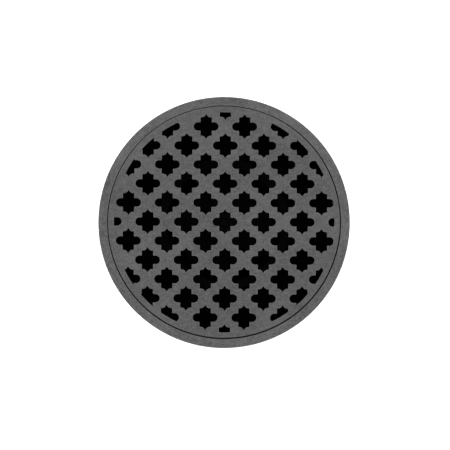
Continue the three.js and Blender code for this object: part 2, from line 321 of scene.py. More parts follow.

# The basket and the drain's inside carry painted shade: they are far darker than real black plastic, so that
# the grate's openings read as black as they do in the photograph.
BASKET_PAINTED_SHADE = 0.0006
BASKET_GLANCE = 0.02
INSIDE_PAINTED_SHADE = 0.0006
INSIDE_GLANCE = 0.06

# What counts as the body's inside, in metres: the pan, within PAN_EDGE of the axis and above PAN_LEVEL, and
# everything within THROAT_EDGE. Each is a short range over which the painted shade fades in.
PAN_EDGE = (0.0562, 0.0566)
PAN_LEVEL = (0.046, 0.047)
THROAT_EDGE = (0.0352, 0.0358)


class Shader:
    """A procedural material on a Principled shader, in coordinates of the piece itself."""

    def __init__(self, name, **constants):
        self.material = bpy.data.materials.new(name)
        self.material.use_nodes = True
        self.tree = self.material.node_tree
        self.principled = self.tree.nodes["Principled BSDF"]
        for socket, value in constants.items():
            self.principled.inputs[socket.replace("_", " ")].default_value = value
        self.place = self.node("ShaderNodeTexCoord").outputs["Object"]

    def node(self, kind, inputs=None, **settings):
        made = self.tree.nodes.new(kind)
        for key, value in settings.items():
            setattr(made, key, value)
        for key, value in (inputs or {}).items():
            socket = made.inputs[key]
            if isinstance(value, bpy.types.NodeSocket):
                self.tree.links.new(value, socket)
            else:
                socket.default_value = value
        return made

    def math(self, operation, a, b=0.0):
        return self.node("ShaderNodeMath", {0: a, 1: b}, operation=operation).outputs[0]

    def stretched(self, scale, place=None):
        place = place or self.place
        return self.node("ShaderNodeMapping", {"Vector": place, "Scale": scale}).outputs[0]

    def polar(self):
        """Angle about the axis, distance from it, and height, for patterns that follow a turned surface."""
        split = self.node("ShaderNodeSeparateXYZ", {0: self.place})
        x, y, z = split.outputs
        angle = self.math("ARCTAN2", y, x)
        radius = self.math("SQRT", self.math("ADD", self.math("MULTIPLY", x, x), self.math("MULTIPLY", y, y)))
        return self.node("ShaderNodeCombineXYZ", {0: angle, 1: radius, 2: z}).outputs[0]

    def noise(self, scale, place=None, detail=3.0, roughness=0.5):
        place = place or self.place
        values = {"Vector": place, "Scale": scale, "Detail": detail, "Roughness": roughness}
        return self.node("ShaderNodeTexNoise", values).outputs["Fac"]

    def spread(self, value, low, high, source=(0.3, 0.7)):
        """A noise value carried from its usual range to low and high."""
        values = {"Value": value, "From Min": source[0], "From Max": source[1], "To Min": low, "To Max": high}
        return self.node("ShaderNodeMapRange", values).outputs[0]

    def varied(self, level, *parts):
        """A grey level moved up and down by (noise, weight) parts about their middle."""
        total = level * (1 - sum(weight for _, weight in parts) / 2)
        for value, weight in parts:
            total = self.math("ADD", self.math("MULTIPLY", value, level * weight), total)
        return total

    def blend(self, factor, a, b):
        made = self.node("ShaderNodeMix", data_type="RGBA")
        self.tree.links.new(factor, made.inputs[0])
        for index, colour in ((6, a), (7, b)):
            if isinstance(colour, bpy.types.NodeSocket):
                self.tree.links.new(colour, made.inputs[index])
            else:
                made.inputs[index].default_value = (*colour, 1)
        return made.outputs[2]

    def edges(self, width):
        """About 1 along sharp edges, fading to 0 within that many metres of them."""
        rounded = self.node("ShaderNodeBevel", {"Radius": width}, samples=RAY_SAMPLES).outputs[0]
        flat = self.node("ShaderNodeNewGeometry").outputs["Normal"]
        agreement = self.node("ShaderNodeVectorMath", {0: rounded, 1: flat}, operation="DOT_PRODUCT")
        return self.spread(agreement.outputs["Value"], 1, 0, (0.92, 0.998))

    def crevice_shade(self, reach):
        """1 in narrow gaps and corners, fading to 0 where nothing stands within that many metres. It masks
        painted shade.
        """
        values = {"Distance": reach}
        open_sky = self.node("ShaderNodeAmbientOcclusion", values, samples=RAY_SAMPLES).outputs["AO"]
        return self.spread(open_sky, 1, 0, (0.25, 0.7))

    def drive(self, socket, value):
        self.tree.links.new(value, self.principled.inputs[socket])

    def bump(self, height, strength, distance):
        values = {"Height": height, "Strength": strength, "Distance": distance}
        self.drive("Normal", self.node("ShaderNodeBump", values).outputs[0])


def grey(level):
    return (level, level, level)


def gunmetal(name, circular, tone, grit):
    """Dark coated steel with a fine brushed grain: round the axis on the frame, straight across on the plate.
    grit is how strongly the fine grain shows."""
    s = Shader(name, Metallic=0.85, Anisotropic=0.25)
    if circular:
        along = s.stretched((14, 4200, 4200), s.polar())
        streak = s.stretched((26, 900, 900), s.polar())
    else:
        along = s.stretched((170, 3600, 3600))
        streak = s.stretched((420, 900, 900))
    grain = s.noise(1.0, along, detail=4, roughness=0.65)
    streaks = s.noise(1.0, streak, detail=3)
    sand = s.noise(1900, detail=2)
    cloud = s.noise(42, detail=4)
    level = s.varied(tone, (grain, 0.9 * grit), (streaks, 0.8), (sand, 2.0 * grit), (cloud, 0.65))
    # The edges are lighter in colour: partly rubbed wear, partly a painted highlight.
    worn_and_highlit = s.math("MULTIPLY", s.edges(EDGE_WEAR_AND_HIGHLIGHT), s.spread(s.noise(700, detail=3), 0.5, 1))
    polished_and_highlit = s.blend(worn_and_highlit, level, grey(tone * 1.3))
    # Narrow gaps and corners are darkened in the colour: painted shade.
    s.drive("Base Color", s.blend(s.crevice_shade(PAINTED_SHADE_REACH), polished_and_highlit, grey(tone * 0.12)))
    rough = s.math("ADD", s.spread(grain, 0.36, 0.46), s.spread(cloud, -0.03, 0.03))
    s.drive("Roughness", rough)
    height = s.math("ADD", grain, s.math("MULTIPLY", sand, 0.35))
    s.bump(height, 0.10, 0.00004)
    return s.material


def black_moulding(name, shade, glance, paint_inside_shade=False):
    """Injection-moulded plastic with a spark-eroded texture. When the last argument is true, shade is painted
    into the pan and throat: their colour is far darker than the rest, and they are rougher."""
    s = Shader(name, Metallic=0.0)
    cloud = s.noise(60, detail=4)
    texture = s.noise(2200, detail=3)
    colour = s.blend(s.spread(cloud, 0, 1), grey(shade), grey(shade * 1.7))
    rough = s.spread(cloud, 0.40, 0.56)
    level = s.spread(texture, glance * 0.8, glance * 1.2)
    if paint_inside_shade:
        _, radius, height = s.node("ShaderNodeSeparateXYZ", {0: s.polar()}).outputs
        in_pan = s.math("MULTIPLY", s.spread(radius, 1, 0, PAN_EDGE), s.spread(height, 0, 1, PAN_LEVEL))
        inside = s.math("MAXIMUM", in_pan, s.spread(radius, 1, 0, THROAT_EDGE))
        # Painted shade: the pan and throat take a colour far darker than real black plastic.
        colour = s.blend(inside, colour, grey(INSIDE_PAINTED_SHADE))
        rough = s.math("MAXIMUM", rough, s.math("MULTIPLY", inside, 0.9))
        level = s.math("MULTIPLY", level, s.spread(inside, 1, INSIDE_GLANCE, (0, 1)))
    s.drive("Base Color", colour)
    s.drive("Roughness", rough)
    s.drive("Specular IOR Level", level)
    s.bump(texture, 0.25, 0.00006)
    return s.material


def rubber():
    s = Shader("black_rubber", Metallic=0.0, Specular_IOR_Level=0.25, Sheen_Weight=0.05)
    bloom = s.noise(90, detail=5)
    texture = s.noise(1500, detail=3)
    s.drive("Base Color", s.blend(s.spread(bloom, 0, 1), grey(0.010), grey(0.017)))
    s.drive("Roughness", s.spread(bloom, 0.72, 0.88))
    s.bump(texture, 0.35, 0.00008)
    return s.material


def fibre():
    s = Shader("pressed_fibre", Metallic=0.0, Specular_IOR_Level=0.3)
    strands = s.noise(500, s.stretched((1, 1, 4)), detail=6, roughness=0.7)
    fleck = s.noise(1300, detail=2)
    board = s.blend(s.spread(strands, 0, 1), (0.15, 0.078, 0.038), (0.24, 0.15, 0.085))
    s.drive("Base Color", s.blend(s.spread(fleck, 0, 1, (0.62, 0.75)), board, (0.07, 0.035, 0.018)))
    s.drive("Roughness", s.spread(strands, 0.78, 0.92))
    s.bump(strands, 0.5, 0.00012)
    return s.material


def nylon():
    s = Shader("white_nylon", Metallic=0.0, Subsurface_Weight=0.15, Subsurface_Scale=0.002)
    cloud = s.noise(80, detail=4)
    s.drive("Base Color", s.blend(s.spread(cloud, 0, 1), (0.40, 0.39, 0.35), (0.46, 0.45, 0.41)))
    s.drive("Roughness", s.spread(cloud, 0.38, 0.5))
    s.bump(s.noise(1200, detail=3), 0.15, 0.00005)
    return s.material


def plain_steel():
    """Machined stainless steel, with turning marks round each piece's own axis."""
    s = Shader("plain_steel", Metallic=1.0)
    marks = s.noise(1.0, s.stretched((2, 9000, 9000), s.polar()), detail=3)
    cloud = s.noise(300, detail=4)
    s.drive("Base Color", s.blend(s.spread(cloud, 0, 1), grey(0.16), grey(0.21)))
    s.drive("Roughness", s.spread(marks, 0.22, 0.38))
    s.bump(marks, 0.2, 0.00003)
    return s.material


FINISHES = {
    "ring_metal": ("gunmetal_steel", gunmetal("gunmetal_turned", True, RING_TONE, RING_GRIT)),
    "plate_metal": ("gunmetal_steel", gunmetal("gunmetal_brushed", False, PLATE_TONE, PLATE_GRIT)),
    "body": ("black_moulding", black_moulding("black_moulding_body", MOULDING_SHADE, MOULDING_GLANCE, True)),
    "moulding": ("black_moulding", black_moulding("black_moulding_satin", MOULDING_SHADE, MOULDING_GLANCE)),
    # The basket's moulding carries painted shade: its colour is far darker than real black plastic.
    "painted_shade_moulding": ("black_moulding", black_moulding("black_moulding_painted_shade", BASKET_PAINTED_SHADE, BASKET_GLANCE)),
    "rubber": ("black_rubber", rubber()),
    "fibre": ("pressed_fibre", fibre()),
    "nylon": ("white_nylon", nylon()),
    "steel": ("plain_steel", plain_steel()),
}


def dress(piece, node, rides_on, finish):
    """Gives a finished piece its material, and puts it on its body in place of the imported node."""
    slot, material = FINISHES[finish]
    piece.data.materials.clear()
    piece.data.materials.append(material)
    for polygon in piece.data.polygons:
        polygon.material_index = 0
    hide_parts(node)
    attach(piece, rides_on)


# ---- frame ---------------------------------------------------------------------------------------

LEDGE_R = 55.9
FRAME_BORE_R = 59
LEDGE_LEVEL = cushion.low - 0.1
BLIND_HOLE_DEPTH = 1.6


def screw_hole_tools(low, high):
    hole = lathe("tool", [(0, low), (HOLE_R, low), (HOLE_R, high), (0, high)], SMALL, (SCREW_CIRCLE_R, 0))
    return around(hole, len(SCREW_ANGLES), SCREW_ANGLES[0])


def make_frame():
    piece = lathe("frame", [
        (LEDGE_R, ring.low, 0.2),
        (ring.r, ring.low, 0.3),
        (ring.r, TOP, 0.45),
        (FRAME_BORE_R, TOP, 0.12),
        (FRAME_BORE_R, LEDGE_LEVEL, 0.2),
        (LEDGE_R, LEDGE_LEVEL, 0.2),
    ])
    cut(piece, screw_hole_tools(ring.low - 1, TOP - BLIND_HOLE_DEPTH))
    dress(piece, "frame_ring", "drain", "ring_metal")


def make_cushion():
    """The rubber ring under the plate, with two shallow grooves."""
    middle = (cushion.low + cushion.high) / 2
    piece = lathe("seat_cushion", [
        (LEDGE_R + 0.2, cushion.low, 0.2),
        (cushion.r, cushion.low, 0.2),
        (cushion.r, cushion.high, 0.3),
        (cushion.r - 0.8, cushion.high, 0.1),
        (cushion.r - 1.0, middle + 0.2, 0.1),
        (cushion.r - 1.3, middle + 0.2, 0.1),
        (cushion.r - 1.5, cushion.high, 0.1),
        (LEDGE_R + 0.2, cushion.high, 0.3),
    ], MEDIUM)
    dress(piece, "seat_gasket", "drain", "rubber")


# ---- grate plate ---------------------------------------------------------------------------------

PATTERN_R = 55.6
TRIM_CENTRE = (0.11, -0.18)
PATTERN_REACH = 60
# Openings nearer the middle than this are whole, but for two on the right whose lobes a slightly wider circle
# blunts.
INNER_REACH = 51
INNER_TRIM_R = 55.95
PATTERN_SHIFT = (0.51, -0.09)
PATTERN_TURN = math.radians(-0.27)
HALF_PITCH_X = 9.736
HALF_PITCH_Y = 9.651
LOBE_R = 2.12
LOBE_REACH = 6.27
HOLE_HALF_WIDTH = 2.84
SHOULDER_Y = 4.65
OGEE_R = 2.4
TIP_Y = 6.3
NECK_ROUND = 0.26
SHOULDER_ROUND = 0.12
TIP_ROUND = 0.1
TIP_RISE = 0.03
PLATE_EDGE = 0.14
PLATE_HOLD = 0.06
EDGE_STEPS = 3
RIM_STEPS = 288
TRIM_STEP = 0.6
HALVINGS = 30


def opening_outline():
    """Round lobes left and right, a square-shouldered body, and an ogee point above and below."""
    ogee_y = SHOULDER_Y + OGEE_R
    tip = math.asin((ogee_y - TIP_Y) / OGEE_R)
    quarter = [
        *arc(LOBE_REACH - LOBE_R, 0, LOBE_R, 0, math.pi / 2, 9),
        (HOLE_HALF_WIDTH, LOBE_R, NECK_ROUND),
        (HOLE_HALF_WIDTH, SHOULDER_Y, SHOULDER_ROUND),
        *arc(OGEE_R, ogee_y, OGEE_R, -math.pi / 2, tip - math.pi, 8)[:-1],
    ]
    top = (0, TIP_Y + TIP_RISE, TIP_ROUND)
    right = [(x, -y, *rest) for x, y, *rest in reversed(quarter[1:])] + quarter
    left = [(-x, y, *rest) for x, y, *rest in reversed(right)]
    bottom = (0, -top[1], TIP_ROUND)
    return fillet([*right, top, *left, bottom])


def bar_outline():
    """The lobes and the bar between them, for the outermost sites left and right, where the trimming circle
    would leave only a sliver of an opening's body."""
    end = arc(LOBE_REACH - LOBE_R, 0, LOBE_R, -math.pi / 2, math.pi / 2, 18)
    return [*end, *[(-x, -y) for x, y in end]]


def crossing(a, b, limit):
    """Where the line from a to b meets the circle of that radius about the origin."""
    low, high = (a, b) if math.hypot(*a) < limit else (b, a)
    for _ in range(HALVINGS):
        middle = ((low[0] + high[0]) / 2, (low[1] + high[1]) / 2)
        if math.hypot(*middle) < limit:
            low = middle
        else:
            high = middle
    return low


def trimmed(outline, limit):
    """The part of a closed outline that lies inside a circle about the origin, closed along the circle."""
    inside = [math.hypot(*point) < limit for point in outline]
    if all(inside):
        return outline
    count = len(outline)
    entry = next(i for i in range(count) if inside[i] and not inside[i - 1])
    result = []
    leaving = None
    for step in range(count + 1):
        i = (entry + step) % count
        if inside[i] != inside[i - 1]:
            meeting = crossing(outline[i - 1], outline[i], limit)
            if leaving is not None:
                start = math.atan2(leaving[1], leaving[0])
                end = start + math.remainder(math.atan2(meeting[1], meeting[0]) - start, FULL_TURN)
                steps = max(2, round(abs(end - start) * limit / TRIM_STEP))
                result += arc(0, 0, limit, start, end, steps)
                leaving = None
            elif inside[i]:
                result.append(meeting)
            if inside[i - 1]:
                leaving = meeting
        if step == count:
            break
        if inside[i]:
            result.append(outline[i])
    return result[1:]


def opening_loops():
    """Every opening's outline about the plate's centre."""
    outline = opening_outline()
    bar = bar_outline()
    loops = []
    reach = math.ceil(PATTERN_REACH / HALF_PITCH_Y)
    for row in range(-reach, reach + 1):
        for column in range(-reach, reach + 1):
            x = column * HALF_PITCH_X + PATTERN_SHIFT[0]
            y = row * HALF_PITCH_Y + PATTERN_SHIFT[1]
            if (row + column) % 2 == 0 and math.hypot(x, y) < PATTERN_REACH:
                shape = bar if abs(x) > PATTERN_R + LOBE_R else outline
                limit = INNER_TRIM_R if math.hypot(x, y) < INNER_REACH else PATTERN_R
                cut_x, cut_y = TRIM_CENTRE
                kept = trimmed([(px + x - cut_x, py + y - cut_y) for px, py in shape], limit)
                loops.append([(px + cut_x, py + cut_y) for px, py in kept])
    return loops


def widened(loop, offset):
    """A counter-clockwise loop moved outwards by offset, corners kept square."""
    result = []
    count = len(loop)
    for i in range(count):
        here = Vector(loop[i])
        before = (here - Vector(loop[i - 1])).normalized()
        after = (Vector(loop[(i + 1) % count]) - here).normalized()
        out = Vector((before.y + after.y, -before.x - after.x)).normalized()
        square = max(0.5, out.dot(Vector((after.y, -after.x))))
        result.append(tuple(here + out * (offset / square)))
    return result


def signed_area(loop):
    return sum(a[0] * b[1] - b[0] * a[1] for a, b in zip(loop, loop[1:] + loop[:1])) / 2


def encloses(loop, x, y):
    """Whether a point lies inside a closed outline."""
    inside = False
    for (ax, ay), (bx, by) in zip(loop, loop[1:] + loop[:1]):
        if (ay > y) != (by > y) and x < ax + (bx - ax) * (y - ay) / (by - ay):
            inside = not inside
    return inside


def filled(loops):
    """Triangles, as point numbers, between the first loop and the others, which are openings in it."""
    points = [Vector(point) for loop in loops for point in loop]
    owner = [number for number, loop in enumerate(loops) for _ in loop]
    edges = []
    first = 0
    for loop in loops:
        edges += [(first + i, first + (i + 1) % len(loop)) for i in range(len(loop))]
        first += len(loop)
    _, _, triangles, sources, _, _ = delaunay_2d_cdt(points, edges, [], 1, 1e-6)
    result = []
    for triangle in triangles:
        corners = [sources[i][0] for i in triangle]
        owners = {owner[i] for i in corners}
        if len(owners) == 1 and 0 not in owners:
            middle = sum((points[i] for i in corners), Vector((0, 0))) / 3
            if encloses(loops[owners.pop()], *middle):
                continue
        result.append(corners)
    return result


def make_plate():
    """The pierced plate: flat faces filled between the outlines, and a small round along every edge."""
    rim_angles = [FULL_TURN * i / RIM_STEPS for i in range(RIM_STEPS)]
    rim = [(plate.r * math.cos(a), plate.r * math.sin(a)) for a in rim_angles]
    loops = [(rim, -1)]
    for loop in opening_loops():
        loops.append((loop if signed_area(loop) > 0 else loop[::-1], 1))
    round_steps = [math.pi / 2 * i / EDGE_STEPS for i in range(EDGE_STEPS + 1)]
    levels = [(PLATE_EDGE * (1 - math.cos(a)), PLATE_EDGE * (1 - math.sin(a))) for a in round_steps]
    levels.append((PLATE_EDGE + PLATE_HOLD, 0))
    turn_cos, turn_sin = math.cos(PATTERN_TURN), math.sin(PATTERN_TURN)

    def placed(point, z):
        x = point[0] * turn_cos - point[1] * turn_sin + plate.centre[0]
        y = point[0] * turn_sin + point[1] * turn_cos + plate.centre[1]
        return (x, y, z)

    bm = bmesh.new()
    flats = []
    caps = {"top": [], "bottom": []}
    for loop, side in loops:
        rings = []
        for offset, drop in reversed(levels):
            moved = widened(loop, side * offset)
            rings.append([bm.verts.new(placed(p, plate.high - drop)) for p in moved])
        for offset, drop in levels:
            moved = widened(loop, side * offset)
            rings.append([bm.verts.new(placed(p, plate.low + drop)) for p in moved])
        for row, below in zip(rings, rings[1:]):
            for i in range(len(loop)):
                j = (i + 1) % len(loop)
                bm.faces.new([row[i], row[j], below[j], below[i]])
        caps["top"] += rings[0]
        caps["bottom"] += rings[-1]
        flats.append(widened(loop, side * levels[-1][0]))
    triangles = filled(flats)
    for verts in caps.values():
        for triangle in triangles:
            bm.faces.new([verts[i] for i in triangle])
    piece = from_bmesh("grate", bm)
    dress(piece, "grate_plate", "grate", "plate_metal")


# ---- drain body ----------------------------------------------------------------------------------

FLANGE_BOTTOM = 10.2
PAN_R = 55.7
PAN_OUTER_R = 58.2
PAN_UNDERSIDE = 19.5
FLOOR_EDGE = 13.2
FLOOR_LIP = 16.4
SEAT_R = 34.5
SEAT_DEPTH = 19.4
THROAT_R = 31
PIPE_BORE_R = 26.5
PIPE_STOP = 44
PIPE_SOCKET_R = 30.4
CHAMBER_R = 34.6
CHAMBER_DEPTH = 50
GUSSET_REACH = 62.4
GUSSET_DROP = 6
GUSSET_COUNT = 8
SHANK_THREAD_TURNS = 8.5
SQUEEZE_PITCH = 2.5


def at(depth):
    """The height of a depth below the walking surface."""
    return TOP - depth


def thread_section(root, crest, width, sink=0.3):
    """A trapezium from just under the root to the crest, width to either side of its middle."""
    sunk = root - math.copysign(sink, crest - root)
    return [(sunk, -width), (crest, -0.3 * width), (crest, 0.3 * width), (sunk, width)]


def gusset_tools():
    """Small webs in the corner between the flange and the pan."""
    side = [
        (PAN_OUTER_R - 1, 0.5),
        (GUSSET_REACH, 0.5),
        (GUSSET_REACH, -0.4),
        (PAN_OUTER_R - 1, -GUSSET_DROP),
    ]
    tool = prism("tool", side, -1, 1)
    tool.data.transform(Matrix.Rotation(math.pi / 2, 4, "X"))
    tool.data.transform(Matrix.Translation((0, 0, at(FLANGE_BOTTOM) * MM)))
    return around(tool, GUSSET_COUNT, math.pi / GUSSET_COUNT)


def make_body():
    piece = lathe("body", [
        (body.r, body.high, 0.3),
        (body.r, at(FLANGE_BOTTOM), 0.5),
        (PAN_OUTER_R, at(FLANGE_BOTTOM), 0.15),
        (PAN_OUTER_R, at(PAN_UNDERSIDE), 0.8),
        (SHANK_ROOT_R, at(PAN_UNDERSIDE), 0.8),
        (SHANK_ROOT_R, 1.2, 0.2),
        (SHANK_ROOT_R - 1.1, 0, 0.2),
        (CHAMBER_R, 0, 0.3),
        (CHAMBER_R, at(CHAMBER_DEPTH), 0.3),
        (PIPE_SOCKET_R, at(CHAMBER_DEPTH), 0.4),
        (PIPE_SOCKET_R, at(PIPE_STOP), 0.3),
        (PIPE_BORE_R, at(PIPE_STOP), 0.4),
        (PIPE_BORE_R, at(PIPE_STOP - 2), 1.5),
        (THROAT_R, at(PIPE_STOP - 4.5), 2.0),
        (THROAT_R, at(SEAT_DEPTH), 0.4),
        (SEAT_R, at(SEAT_DEPTH), 0.3),
        (SEAT_R, at(FLOOR_LIP), 0.8),
        (PAN_R - 1.5, at(FLOOR_EDGE), 3.0),
        (PAN_R, at(FLOOR_EDGE - 1.6), 3.0),
        (PAN_R, body.high, 0.4),
    ])
    join(piece, gusset_tools())
    section = thread_section(SHANK_ROOT_R, SHANK_CREST_R, 1.25)
    outer = helix("tool", section, at(THREAD_START_DEPTH), SHANK_THREAD_TURNS, THREAD_PITCH)
    # The inner thread is shallow surface detail: a deeper one would run into the pipe seal and slip washer.
    inner = helix("tool", thread_section(CHAMBER_R, CHAMBER_R - 0.2, 0.5), 1.2, 1.8, SQUEEZE_PITCH)
    join(piece, [outer, inner])
    cut(piece, screw_hole_tools(at(FLANGE_BOTTOM) - 1, body.high + 1))
    dress(piece, "drain_body", "drain", "body")


def make_flange_seal():
    piece = lathe("frame_seal", [
        (LEDGE_R + 0.3, seal.low, 0.12),
        (seal.r, seal.low, 0.12),
        (seal.r, seal.high, 0.12),
        (LEDGE_R + 0.3, seal.high, 0.12),
    ], MEDIUM)
    cut(piece, screw_hole_tools(seal.low - 1, seal.high + 1))
    dress(piece, "flange_seal", "drain", "rubber")


# ---- screws --------------------------------------------------------------------------------------

SCREW_R = 1.2
SCREW_HEAD_R = 2.25
SCREW_HEAD = 2
SOCKET_R = 1.1
SCREW_PITCH = 0.45
SCREW_TURN = 0.9
SMALL_WASHER_R = 2.5


def screw_model():
    """A socket-head screw about its own axis, head down, with a rolled thread."""
    whole = Span("frame_screw_1")
    low, high = whole.low, whole.high
    head_top = low + SCREW_HEAD
    screw = lathe("screw", [
        (0, low),
        (SCREW_HEAD_R, low, 0.35),
        (SCREW_HEAD_R, head_top, 0.12),
        (SCREW_R, head_top, 0.1),
        (SCREW_R, head_top + 0.6, 0.05),
        (SCREW_R - 0.15, head_top + 0.8, 0.05),
        (SCREW_R - 0.15, high - 0.4, 0.1),
        (SCREW_R - 0.5, high, 0.1),
        (0, high),
    ], SMALL)
    turns = (high - head_top - 1.6) / SCREW_PITCH
    section = thread_section(SCREW_R - 0.15, SCREW_R + 0.05, 0.16, sink=0.1)
    thread = helix("tool", section, head_top + 1.0, turns, SCREW_PITCH, steps_per_turn=TINY, run_out=0.5)
    join(screw, [thread])
    socket = lathe("tool", [(0, low - 1), (SOCKET_R, low - 1), (SOCKET_R, low + 1.2), (0, low + 1.2)], 6)
    cut(screw, [socket])
    return screw


def make_screws():
    screw = screw_model()
    washer = Span("screw_washer_1")
    washer_model = lathe("washer", [
        (HOLE_R, washer.low, 0.06),
        (SMALL_WASHER_R, washer.low, 0.1),
        (SMALL_WASHER_R, washer.high, 0.1),
        (HOLE_R, washer.high, 0.06),
    ], SMALL)
    for i, angle in enumerate(SCREW_ANGLES, 1):
        for kind, model, node in (("screw", screw, "frame_screw"), ("washer", washer_model, "screw_washer")):
            piece = new_object(f"{kind}_{i}", model.data.copy())
            x, y = SCREW_CIRCLE_R * math.cos(angle), SCREW_CIRCLE_R * math.sin(angle)
            piece.location = (x * MM, y * MM, 0)
            piece.rotation_euler.z = angle + SCREW_TURN * i
            dress(piece, f"{node}_{i}", "drain", "steel")
    bpy.data.objects.remove(screw)
    bpy.data.objects.remove(washer_model)


# ---- clamping parts under the pan ----------------------------------------------------------------

LOCK_NUT_R = 47
LOCK_FLANGE_R = 52
LUG_COUNT = 8
LUG_WIDTH = 5
# In turns above the start of the shank's thread: the half turn puts each ridge between two of the shank's.
LOCK_THREAD_OFFSET = 4.5
LOCK_THREAD_TOP = 1.4
GASKET_RIBS = 4
GASKET_GROOVE = 0.35


def ribbed_face(inner_r, outer_r, level, depth, ribs):
    """Corners of a flat gasket face with shallow grooves, from the outside inwards. A negative depth is for a
    face that looks down."""
    corners = []
    groove = (outer_r - inner_r) / (2 * ribs + 1)
    for i in range(ribs):
        a = outer_r - groove * (2 * i + 1)
        b = a - groove
        corners += [
            (a, level, 0.15),
            (a - 0.3, level - depth, 0.15),
            (b + 0.3, level - depth, 0.15),
            (b, level, 0.15),
        ]
    return corners


def make_base_gasket():
    inner = COLLAR_BORE_R
    top = ribbed_face(inner + 2, base_gasket.r - 1, base_gasket.high, GASKET_GROOVE, GASKET_RIBS)
    bottom = ribbed_face(inner + 2, base_gasket.r - 1, base_gasket.low, -GASKET_GROOVE, GASKET_RIBS)
    piece = lathe("base_seal", [
        (inner, base_gasket.low, 0.4),
        *reversed(bottom),
        (base_gasket.r, base_gasket.low, 0.6),
        (base_gasket.r, base_gasket.high, 0.6),
        *top,
        (inner, base_gasket.high, 0.4),
    ], MEDIUM)
    dress(piece, "base_gasket", "drain", "rubber")


def make_friction_washer():
    piece = lathe("fibre_washer", [
        (COLLAR_BORE_R, friction.low, 0.1),
        (friction.r, friction.low, 0.15),
        (friction.r, friction.high, 0.15),
        (COLLAR_BORE_R, friction.high, 0.1),
    ], MEDIUM)
    dress(piece, "friction_washer", "clamp_washer", "fibre")


def make_lock_nut():
    piece = lathe("clamp_nut", [
        (COLLAR_BORE_R, lock.low, 0.5),
        (LOCK_NUT_R, lock.low, 0.6),
        (LOCK_NUT_R, lock.high - 4, 1.0),
        (LOCK_FLANGE_R, lock.high - 3, 0.5),
        (LOCK_FLANGE_R, lock.high, 0.5),
        (COLLAR_BORE_R, lock.high, 0.5),
    ])
    inside = LOCK_NUT_R - 1
    half = LUG_WIDTH / 2
    lug = prism("tool", fillet([
        (inside, -half),
        (lock.r, -half, 0.8),
        (lock.r, half, 0.8),
        (inside, half),
    ]), lock.low, lock.high - 1)
    join(piece, around(lug, LUG_COUNT))
    soften(piece, 0.3)
    section = thread_section(COLLAR_BORE_R, SHANK_ROOT_R + 0.4, 1.15)
    start = at(THREAD_START_DEPTH) + LOCK_THREAD_OFFSET * THREAD_PITCH
    turns = (lock.high - LOCK_THREAD_TOP - start) / THREAD_PITCH
    join(piece, [helix("tool", section, start, turns, THREAD_PITCH)])
    dress(piece, "lock_nut", "clamp_nut", "moulding")


# ---- compression joint ---------------------------------------------------------------------------

PIPE_SLEEVE_R = 30.7
NOTCH_COUNT = 6
NOTCH_WIDTH = 4
NOTCH_DEPTH = 2.5
NOTCH_FROM_R = 28
NOTCH_TO_R = 38


def make_pipe_seal():
    middle = (pipe_seal.low + pipe_seal.high) / 2
    piece = lathe("pipe_ring", [
        (PIPE_SLEEVE_R, pipe_seal.low, 0.3),
        (pipe_seal.r, pipe_seal.low, 0.5),
        (pipe_seal.r, pipe_seal.high, 0.5),
        (PIPE_SLEEVE_R + 0.6, pipe_seal.high, 0.3),
        (PIPE_SLEEVE_R + 0.9, middle + 1.2, 0.4),
        (PIPE_SLEEVE_R, middle + 0.6, 0.3),
        (PIPE_SLEEVE_R, middle - 0.6, 0.3),
        (PIPE_SLEEVE_R + 0.9, middle - 1.2, 0.4),
    ], MEDIUM)
    dress(piece, "pipe_seal", "drain", "rubber")


def make_slip_washer():
    piece = lathe("pipe_washer_ring", [
        (PIPE_SLEEVE_R, slip.low, 0.2),
        (slip.r, slip.low, 0.2),
        (slip.r, slip.high, 0.2),
        (PIPE_SLEEVE_R, slip.high, 0.2),
    ], MEDIUM)
    dress(piece, "slip_washer", "pipe_washer", "nylon")


def make_compression_nut():
    root = squeeze.r - 0.9
    piece = lathe("squeeze_nut", [
        (PIPE_SLEEVE_R, squeeze.low, 0.4),
        (root, squeeze.low, 0.4),
        (root, squeeze.high, 0.3),
        (PIPE_SLEEVE_R, squeeze.high, 0.3),
    ])
    half = NOTCH_WIDTH / 2
    notch = prism("tool", [
        (NOTCH_FROM_R, -half),
        (NOTCH_TO_R, -half),
        (NOTCH_TO_R, half),
        (NOTCH_FROM_R, half),
    ], squeeze.low - 1, squeeze.low + NOTCH_DEPTH)
    section = thread_section(root, squeeze.r, 0.7)
    start = 1.0 + 0.5 * SQUEEZE_PITCH
    join(piece, [helix("tool", section, start, 1.4, SQUEEZE_PITCH)])
    cut(piece, around(notch, NOTCH_COUNT))
    dress(piece, "compression_nut", "pipe_nut", "moulding")


# ---- hair basket ---------------------------------------------------------------------------------

CUP_WALL = 1.2
CUP_TOP_R = 30.4
CUP_BOTTOM_R = 25.8
BASKET_RIM = 1.3
STUD_R = 1.6
POST_FOOT_R = 3.4
POST_R = 2.3
SLOT_COUNT = 12
SLOT_WIDTH = 2.6
SLOT_HEIGHT = 6
SLOT_GAP = 2
SLOT_TIERS = 2
FLOOR_HOLE_R = 1.6
FLOOR_HOLE_REACH = 22
FLUTE_COUNT = 12
FLUTE_R = 1.2
NUT_CHAMFER = 0.35


def make_basket_seal():
    piece = lathe("basket_ring", [
        (THROAT_R + 0.3, basket_seal.low, 0.2),
        (basket_seal.r, basket_seal.low, 0.2),
        (basket_seal.r, basket_seal.high, 0.2),
        (THROAT_R + 0.3, basket_seal.high, 0.2),
    ], MEDIUM)
    dress(piece, "basket_seal", "basket", "rubber")


